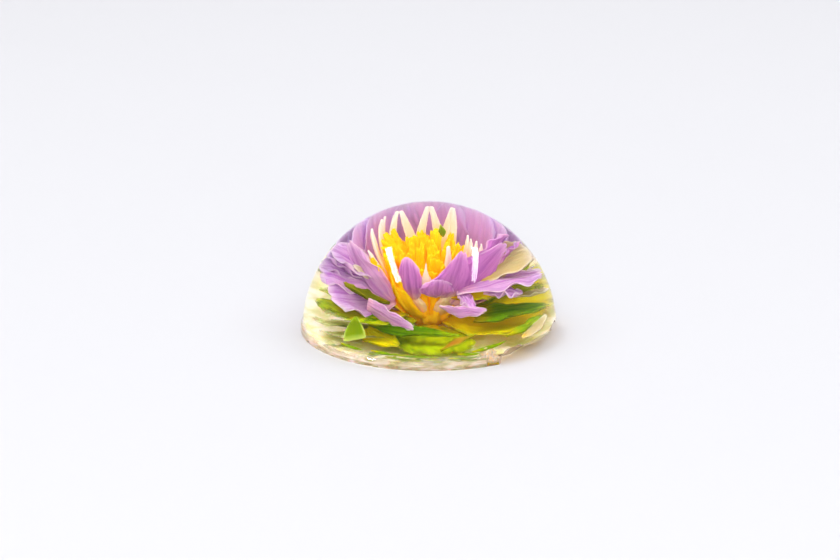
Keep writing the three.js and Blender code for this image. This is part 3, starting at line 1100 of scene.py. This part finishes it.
@dataclass
class Leaves(BladeGroup):
    """The green leaves under the petals, and the scraps that the tool left by the foot.

    Each thread has the azimuths that it runs between and its height, and each scrap its azimuth.
    """

    seed: int = 31
    thread_lines: tuple[tuple[float, float, float], ...] = (
        (-30, -14, 1.2), (-20, -5, 3), (-14, 8, 2.6), (8, 25, 3.1), (-4, 10, 1.6), (14, 27, 2.1),
        (-27, -12, 4.3), (-16, 6, 3.9), (-44, -30, 4.4), (12, 24, 4.2), (100, 118, 4.2), (140, 162, 4),
        (-130, -108, 4.2), (-96, -80, 4.6), (180, 196, 4))
    scrap_azimuths: tuple[float, ...] = (-52, -30, -19, -15, -11, -6, 4, 7, 10, 18, 120, 165, 214, 250)

    def build(self) -> list[Object]:
        """Makes the leaves, and what the tool left of them by the foot.

        Returns:
            The pieces.
        """
        green = GREEN.build()
        self.lay("leaves", 0, green, Slot.GREEN, [
            *((Tool.LEAF, (azimuth, 8, 2.2), (azimuth, 19, 2.2 + top * 0.2), (azimuth, radius, top), width)
              for azimuth, radius, top, width in (
                  (140, 34, 9.5, 15), (176, 34, 9, 15), (-150, 34, 8, 15), (-128, 28, 2.6, 12))),
            (Tool.LEAF, (43, 32.5, 5.8), (56, 34.5, 6.8), (69, 35.5, 8.8), 4.6, 40),
            (Tool.SLIVER, (19, 37.2, 4.4), (28, 37.5, 4.6), (38, 36.6, 5.8), 1.7, 60)])
        # The bright three-cornered leaf at the front left, and the sliver among the stamens
        self.lay("leaf_flaps", 7, SPRING.build(), Slot.GREEN, [
            (Tool.FLAP, (-42.5, 31.2, 11.2), (-40.5, 33.6, 9), (-38, 35.6, 5.8), 7.6),
            (Tool.SLIVER, (154, 7.6, 20.8), (158, 8, 22.2), (162, 8.3, 23.9), 2)])
        # The darker leaves, two at the front left and one at the right: their dark green is partly their own
        # colour and partly painted shade from the petals over them
        self.lay("deep_leaves", 6, DEEP_GREEN.build(), Slot.GREEN, [
            (Tool.LEAF, (-20, 12, 6), (-30, 21, 7.4), (-40, 29.5, 10), 10, -22),
            (Tool.LEAF, (-42, 26.5, 9.2), (-17, 24.5, 6.2), (18, 27, 6.4), 7.4, 34),
            (Tool.SLAB, (42, 17.6, 7.6), (57, 26.6, 8.8), (79, 35.8, 9.8), 12.4, 26)])
        # The dark narrow leaf between two of the low petals at the left, whose darkness is painted shade
        self.lay("leaf_slit", 9, DARK_OLIVE.build(), Slot.GREEN, [
            (Tool.LEAF, (-40, 16.4, 11.2), (-49, 22.2, 13.4), (-63, 27.2, 17.6), 4.8, -26)])
        # The bit of browned leaf near the wall at the front
        self.lay("leaf_fragment", 10, RUSSET.build(), Slot.GREEN, [
            (Tool.SCRAP, (5, 34.6, 4.7), (13, 34.4, 7.2), (23.5, 33.6, 8.6), 4.8, 40)])
        # The lime sheets low at the front and the left, and the lime leaves at both sides
        self.lay("lime_sheets", 8, LIME.build(), Slot.GREEN, [
            (Tool.SKIRT, (0, 6, 2.6), (1, 18, 2.8), (3, 36.5, 3.6), 23),
            (Tool.SKIRT, (-46, 10, 6.4), (-50, 22, 8.2), (-54, 33.4, 9.6), 24),
            (Tool.LEAF, (-61, 25, 8.4), (-67, 30, 10.2), (-76, 35, 11.8), 8.6, -24),
            (Tool.LEAF, (66, 18, 12.4), (74, 27, 13.4), (83, 34.8, 15), 4.5, 20)])
        # The wide thin sheets of olive jelly that the leaves run out into, low over the flat face
        self.lay("leaf_skirts", 4, OLIVE.build(), Slot.GREEN, [
            (Tool.SKIRT, (64, 5, 3.2), (65, 17, 4.2), (66, 33, 5.6), 27),
            (Tool.SKIRT, (128, 4, 2.8), (128, 16, 2.8), (128, 33, 3.6), 28),
            (Tool.SKIRT, (-168, 4, 2.8), (-168, 16, 2.8), (-168, 33, 3.6), 28),
            (Tool.LEAF, (38, 8, 10), (44, 15, 12.8), (52, 23, 13.4), 5, 25),
            (Tool.LEAF, (-46, 23, 5.2), (-34, 27, 4.4), (-16, 29.5, 4), 10, 34)])
        # The washed out sheets low at the left, where the leaf jelly ran thin
        self.lay("leaf_veil", 11, VEIL.build(), Slot.GREEN, [
            (Tool.SKIRT, (-36, 12, 2), (-47, 23, 2.6), (-57, 35.6, 4.4), 22),
            (Tool.SKIRT, (-60, 16, 3), (-66, 26, 4.4), (-72, 36, 6.4), 11)])
        self.scraps(green)
        # The thin threads of leaf jelly that lie along the wall just over the foot
        self.lay("leaf_threads", 2, green, Slot.GREEN, [
            (Tool.THREAD, (first, 38.6, height + 0.4), ((first + last) / 2, 39, height - 0.3),
             (last, 38.6, height), 1.1, 60) for first, last, height in self.thread_lines])
        return self.pieces

    def scraps(self, finish: Material) -> None:
        """Makes the slivers of leaf caught in the foot.

        Args:
            finish: The leaf green jelly.
        """
        bed = self.bed(1)
        for azimuth in self.scrap_azimuths:
            start = 30 + bed.rng.uniform(-3, 3)
            swing = bed.rng.uniform(-9, 9)
            bed.lay(Tool.SCRAP, BladePlace(
                (azimuth, start, 0.8), (azimuth, start + 4, 0.9 + bed.rng.random()),
                (azimuth + swing, 39.2, 1.0 + bed.rng.random()), bed.rng.uniform(1.6, 3.2)))
        self.pieces.append(bed.finish("leaf_scraps", finish, Slot.GREEN))


@dataclass
class FootFilm:
    """The cloudy last pour that sealed the mould: a pale floor under the flower and a band at the foot.

    The floor steps back from the torn stretches of the foot, which are a middle and half a width in degrees.
    A crumb's place is an azimuth, a radius, a height and its half sizes.
    """

    dome: JellyDome
    radius: float = 39.45
    lean: float = 0.2
    first: float = 109.0
    last: float = 385.5
    low: float = 0.2
    high: float = 4.2
    thick: float = 0.25
    wave: float = 0.35
    turns: int = 360
    floor_height: float = 0.45
    floor_thick: float = 0.5
    floor_reach: float = 37.4
    floor_step_back: float = 5.0
    torn_stretches: tuple[tuple[float, float], ...] = ((60.7, 35.0), (89.0, 22.0))
    torn_ease_deg: float = 4.0
    crumb_lump: float = 0.35
    crumb_grain: float = 0.12
    crumb_places: tuple[tuple[float, float, float, Spot], ...] = (
        (27.2, 37, 2.6, (2.4, 1.5, 2.2)), (29.4, 38, 1.5, (1.9, 1.3, 1.2)),
        (112, 37.2, 2.4, (2, 1.4, 1.8)), (86, 37.8, 7, (1.6, 0.8, 1.1)), (92, 37.2, 9.6, (0.7, 0.5, 1.6)))

    def build(self) -> list[Object]:
        """Makes the band, the crumbs and the floor."""
        return [self.band(BAND.build()), self.crumbs(CRUMBED.build()), self.floor(FLOOR.build())]

    def band(self, material: Material) -> Object:
        """Makes the band, with an uneven top, round all of the foot that isn't torn.

        Args:
            material: The cloudy jelly.

        Returns:
            The band.
        """
        bm = bmesh.new()
        levels = [self.low + step / 5 * (self.high - self.low) for step in range(6)]
        start = plan(self.first)
        verts = [bm.verts.new((start * (self.radius - self.lean * level) + Vector((0, 0, level))) * MM)
                 for level in levels]
        edges = [bm.edges.new(pair) for pair in zip(verts, verts[1:])]
        bmesh.ops.spin(bm, geom=verts + edges, axis=(0, 0, 1), cent=(0, 0, 0), steps=self.turns,
                       angle=math.radians(self.last - self.first))
        bmesh.ops.solidify(bm, geom=bm.faces[:], thickness=self.thick * MM)
        bmesh.ops.recalc_face_normals(bm, faces=bm.faces)
        for vert in bm.verts:
            around = vert.co.xy.normalized() * 9
            share = (vert.co.z / MM - self.low) / (self.high - self.low)
            vert.co.z += share * self.wave * 2 * noise.noise(Vector((around.x, around.y, 0))) * MM
        return make_piece("foot_film", bm, material)

    def crumbs(self, material: Material) -> Object:
        """Makes the lumps of crumbed jelly at the ends of the torn place and over it.

        Args:
            material: The crumbed jelly.

        Returns:
            The lumps, as one piece.
        """
        bm = bmesh.new()
        for azimuth, radius, height, size in self.crumb_places:
            made = bmesh.ops.create_icosphere(bm, subdivisions=4, radius=1.0)
            for vert in made["verts"]:
                vert.co *= 1 + self.crumb_lump * noise.noise(vert.co * 2.1 + Vector((azimuth, 0, 0)))
                vert.co *= 1 + self.crumb_grain * noise.noise(vert.co * 6.3)
            bmesh.ops.scale(bm, verts=made["verts"], vec=Vector(size) * MM)
            turn_to(bm, made["verts"], azimuth)
            bmesh.ops.translate(bm, verts=made["verts"], vec=spot_at((azimuth, radius, height)) * MM)
        return make_piece("foot_crumbs", bm, material)

    def floor(self, material: Material) -> Object:
        """Makes the floor: a thin disc that falls short of the torn place.

        Args:
            material: The cloudy jelly, as thick as it is there.

        Returns:
            The floor.
        """
        top = self.floor_height + self.floor_thick
        line = [(share, top) for share in (0.0, 0.25, 0.5, 0.75, 1.0)]
        line += [(1.0, self.floor_height), (0.0, self.floor_height)]
        bm = spin_line([Vector((self.floor_reach * share, 0, height)) for share, height in line], self.turns,
                       0.001)
        for vert in bm.verts:
            azimuth = math.degrees(math.atan2(vert.co.x, -vert.co.y))
            torn = max(smooth(half, half - self.torn_ease_deg, abs(azimuth - middle))
                       for middle, half in self.torn_stretches)
            limit = self.floor_reach - self.floor_step_back * torn
            radius = vert.co.xy.length / MM
            if radius > limit:
                vert.co.xy *= limit / radius
        return make_piece("cloudy_floor", bm, material)


@dataclass
class Studio:
    """The pale table, the lamps and the camera."""

    axis_elevation: float = 17.3
    distance: float = 0.65
    pixels_per_mm: float = 3.175
    frame_width_px: int = 840
    frame_height_px: int = 560
    foot_centre_px: tuple[float, float] = (429.6, 328.0)
    sensor_mm: float = 36.0
    table_gap_mm: float = 0.15
    world_light: float = 0.37
    world_shine: float = 0.75
    world_colour: Colour = (0.985, 0.985, 1.0, 1.0)
    table_colour: str = "#c4c4c8"
    # Each lamp's name, place and size in metres, power in watts, whether it is only a highlight, and roll
    lamps: tuple[tuple, ...] = (
        ("key_left", (-0.75, -0.18, 1.1), (0.9, 0.9), 9.4, False),
        ("key_right", (0.85, -0.08, 1.1), (0.9, 0.9), 8.6, False),
        ("fill_back", (0.0, 1.1, 1.2), (2.4, 1.0), 20.0, False),
        ("fill_front", (0.05, -1.2, 0.5), (1.0, 0.5), 13.0, False),
        ("strip_left", (-0.53, -0.1, 1.0), (0.09, 0.8), 15.5, True),
        ("strip_right", (0.665, -0.02, 1.0), (0.1, 0.75), 12.0, True, 12.0))

    def build(self) -> None:
        """Sets the table, the lamps and the camera."""
        self.table()
        self.lights()
        self.camera()

    def camera(self) -> None:
        """Puts the camera where the photograph was taken from, on the photograph's frame."""
        data = bpy.data.cameras.new("camera")
        data.sensor_width = self.sensor_mm
        data.lens = self.sensor_mm * self.distance * self.pixels_per_mm / MM / self.frame_width_px
        data.clip_start, data.clip_end = 0.01, 50.0
        camera = add_object(data)
        elevation = math.radians(self.axis_elevation)
        back = Vector((0, -math.cos(elevation), math.sin(elevation)))
        upward = Vector((0, math.sin(elevation), math.cos(elevation)))
        aside = (self.frame_width_px / 2 - self.foot_centre_px[0]) / self.pixels_per_mm * MM
        above = (self.foot_centre_px[1] - self.frame_height_px / 2) / self.pixels_per_mm * MM
        camera.location = back * self.distance + Vector((aside, 0, 0)) + upward * above
        camera.rotation_euler = (math.radians(90 - self.axis_elevation), 0, 0)
        bpy.context.scene.camera = camera

    def table(self) -> None:
        """A wide pale table top a hair under the flat face, where the wet film of a jelly would be."""
        bm = bmesh.new()
        bmesh.ops.create_grid(bm, x_segments=1, y_segments=1, size=4.0)
        bmesh.ops.translate(bm, verts=bm.verts, vec=(0, 0, -self.table_gap_mm * MM))
        material, tree = new_material("matt_white_laminate")
        shader = add_node(tree, "BsdfPrincipled", {"Base Color": linear(self.table_colour), "Roughness": 0.6,
                                                   "Specular IOR Level": 0.1})
        add_node(tree, "OutputMaterial", None, {"Surface": shader.outputs[0]})
        add_object(make_mesh("table", bm, material))

    def lamp(self, name: str, place: Spot, size: tuple[float, float], power: float,
             shine: bool, roll: float = 0.0) -> None:
        """Adds a soft lamp that faces the jelly.

        Args:
            name: The lamp's name.
            place: Where it hangs, in metres.
            size: Its width and length, in metres.
            power: Its power in watts.
            shine: True for a lamp that only shows as a highlight, False for one that only lights.
            roll: How far it is turned about the line to the jelly, in degrees.
        """
        data = bpy.data.lights.new(name, "AREA")
        data.shape = "RECTANGLE"
        data.size, data.size_y = size
        data.energy = power
        lamp = add_object(data)
        back = Vector(place).normalized()
        across = Vector((0, 1, 0)).cross(back).normalized()
        turn = Matrix((across, back.cross(across), back)).transposed()
        turn = turn @ Matrix.Rotation(math.radians(roll), 3, "Z")
        lamp.matrix_world = Matrix.Translation(place) @ turn.to_4x4()
        lamp.visible_glossy = shine
        lamp.visible_diffuse = not shine
        lamp.visible_transmission = False
        lamp.visible_camera = False

    def lights(self) -> None:
        """A pale surround that is brighter where it is mirrored off the jelly's wet skin, and the lamps."""
        world = bpy.data.worlds.new("surround")
        world.use_nodes = True
        tree = world.node_tree
        sky = tree.nodes["Background"]
        sky.inputs["Color"].default_value = self.world_colour
        rays = add_node(tree, "LightPath")
        mirrored = add_node(tree, "Math", {"operation": "SUBTRACT", "use_clamp": True},
                            {0: rays.outputs["Is Glossy Ray"], 1: rays.outputs["Is Transmission Ray"]})
        strength = add_node(tree, "MapRange", {"To Min": self.world_light, "To Max": self.world_shine},
                            {"Value": mirrored.outputs[0]})
        tree.links.new(strength.outputs[0], sky.inputs["Strength"])
        bpy.context.scene.world = world
        for lamp in self.lamps:
            self.lamp(*lamp)
        bpy.context.scene.view_settings.view_transform = "Standard"


# Gelatine as it left the wet mould, and the same where it broke, rough and misty
CLEAR = ClearJelly()
BROKEN = ClearJelly("torn_gelatine", roughness=0.14, pit_spacing_mm=1.1, pit_depth_mm=0.12, mist=0.3)
# Milk jelly coloured purple: deeper and streaky round the stamens, thinner and paler behind them
PURPLE = MilkyJelly("purple_milk_jelly", root="#e0b0c4", body="#c298c6", tip="#c8a8dc", deep="#9850a8",
                    rim="#e4cad8", under="#c894b8", flecks=0.5, let_through=0.86, root_end=0.22,
                    streaks=0.8, streaks_across=6.0)
INNER = MilkyJelly("inner_purple_milk_jelly", root="#f2c8b8", body="#bc74c8", tip="#c68cda", deep="#7e2e9c",
                   rim="#e0b8dc", under="#cc8ab4", flecks=0.35, root_end=0.3, streaks=0.75,
                   streaks_across=6.0)
PALE = MilkyJelly("pale_purple_milk_jelly", root="#d898ac", body="#c896ce", tip="#c69edc", deep="#ac80c8",
                  rim="#d6bce8", under="#c69ed0", streaks=0.35, painted_crease_shade=0.1, let_through=0.97,
                  streaks_across=11.0)
# Milk jelly with a little green, which gives the dull straw of the petals between the purple ones
STRAW = MilkyJelly("straw_milk_jelly", root="#ccac40", body="#b8a876", tip="#cabda0", deep="#a48c4c",
                   rim="#e4dac0", under="#ccb878", streaks=0.3, painted_crease_shade=0.1)
# Milk jelly that the yellow and the purple ran into
FLESH = MilkyJelly("flesh_milk_jelly", root="#f6b43c", body="#f4d8bc", tip="#eccccc", deep="#e8b088",
                   rim="#f4dccc", under="#f2cc98", streaks=0.5, painted_crease_shade=0.0, root_end=0.5)
# Plain milk jelly, with yellow where it leaves the heart
CREAM = MilkyJelly("cream_milk_jelly", root="#f2bc4c", body="#e8d6c2", tip="#eae0dc", deep="#d8bca4",
                   rim="#f2eae2", under="#e6d2b4", root_end=0.5, tip_start=0.7, streaks=0.25, painted_crease_shade=0.0)
# Jelly coloured egg yellow, with little milk, so that it glows
YELLOW = MilkyJelly("egg_yellow_jelly", root="#fcb406", body="#fdc602", tip="#ffcc08", deep="#f8aa08",
                    rim="#ffcc18", under="#fdb402", let_through=0.88, streaks=0.7, painted_crease_shade=0.0)
# A lighter copy of the egg yellow for the heart: painted light, where the heart sits in the shade of the
# stamens and petals
HEART = MilkyJelly("heart_yellow_jelly", root="#f2a008", body="#ffd01c", tip="#ffd63c", deep="#f49c08",
                   rim="#ffd850", under="#ffca1c", streaks=0.9, painted_crease_shade=0.0, streaks_across=4.0,
                   let_through=0.7)
# Jelly coloured leaf green, with dark streaks where it is thick and yellow where it runs out
GREEN = MilkyJelly("leaf_green_jelly", root="#c8bc04", body="#84a204", tip="#8cb008", deep="#2c5c02",
                   rim="#a4b814", under="#b4b808", under_share=0.6, root_end=0.3, tip_start=0.8,
                   streaks=1.0, painted_crease_shade=0.3, rim_share=0.35, streaks_across=7.0, fade=0.86)
# A darker copy of the leaf green: partly the leaves' own colour, partly painted shade where they lie under
# the petals
DEEP_GREEN = MilkyJelly("deep_green_jelly", root="#a8a004", body="#5e8602", tip="#86ae0a", deep="#205002",
                        rim="#8ca414", under="#8c9406", under_share=0.4, root_end=0.25, tip_start=0.8,
                        streaks=0.9, painted_crease_shade=0.3, rim_share=0.35, streaks_across=7.0, fade=0.84)
# Leaf green for the three-cornered leaf, whose pale rim is a painted highlight, the edge catching the light
SPRING = MilkyJelly("spring_green_jelly", root="#84940a", body="#748a04", tip="#84980a", deep="#5c8804",
                    rim="#bcd060", under="#a4b80c", streaks=0.7, painted_crease_shade=0.0, rim_share=0.8, rim_start=0.8)
# The same green and the yellow run together, in a thin sheet
OLIVE = MilkyJelly("olive_jelly", root="#f0d004", body="#e0c804", tip="#d4ca08", deep="#c4ac04",
                   rim="#e0e030", under="#ecdc0a", streaks=0.7, painted_crease_shade=0.0, rim_share=0.3,
                   tip_start=0.6, streaks_across=3.0, fade=0.86, glow=0.9, glow_mm=2.0)
LIME = MilkyJelly("lime_jelly", root="#d8b80a", body="#acbe08", tip="#a0bc0a", deep="#5e8804",
                  rim="#c4d030", under="#c8c00a", streaks=0.8, painted_crease_shade=0.0, rim_share=0.3,
                  streaks_along=5.0, streaks_across=2.5, fade=0.76)
VEIL = MilkyJelly("washed_out_leaf_jelly", root="#c8cc50", body="#dcdc98", tip="#e6e2b4", deep="#bcc860",
                  rim="#ecead0", under="#d8d890", let_through=0.9, streaks=0.8, painted_crease_shade=0.0,
                  streaks_along=4.0, streaks_across=3.0, fade=0.7)
# The leaf green darkened to olive as painted shade, for the slit leaf that lies in shade between the petals,
# and the same green gone brown, as colours do where they mix
DARK_OLIVE = MilkyJelly("dark_olive_jelly", root="#706804", body="#4c5602", tip="#566002", deep="#3a4602",
                        rim="#6c7408", under="#5c5404", let_through=0.5, streaks=0.6, painted_crease_shade=0.2,
                        rim_share=0.4, streaks_across=4.0)
RUSSET = MilkyJelly("browned_leaf_jelly", root="#98900c", body="#bc7e24", tip="#98900c", deep="#8c4c10",
                    rim="#748408", under="#a88424", streaks=0.8, painted_crease_shade=0.5, rim_start=0.3, rim_share=0.9)
# The last pour: a thin pinkish band in flat layers, coarse crumbs, and the milky floor
BAND = CloudyJelly(colour="#f4dfd6", patch_colour="#d8c496", cover=0.36, patchy=0.1, layering=6.0,
                   patch_mm=5.0, thins_from_mm=1.2, thins_to_mm=4.2)
CRUMBED = CloudyJelly("crumbed_gelatine", colour="#d9b184", cover=0.65, patch_mm=0.9, patchy=0.35)
FLOOR = CloudyJelly("cloudy_floor_gelatine", colour="#fdf2e2", patch_colour="#e8e4a0", cover=0.94,
                    patch_mm=6.0)


def main() -> None:
    """Builds the dome, the flower, the leaves and the foot in that order, and then the studio."""
    logging.basicConfig(level=logging.INFO, format="%(name)s: %(message)s")
    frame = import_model()
    LOG.info("nodes: %s", sorted(frame["nodes"]))
    dome = JellyDome()
    for assembly in (dome, Lotus(dome), Leaves(dome), FootFilm(dome)):
        for piece in assembly.build():
            LOG.info("%s: %d faces", piece.name, len(piece.data.polygons))
    Studio().build()


if __name__ == "__main__":
    main()
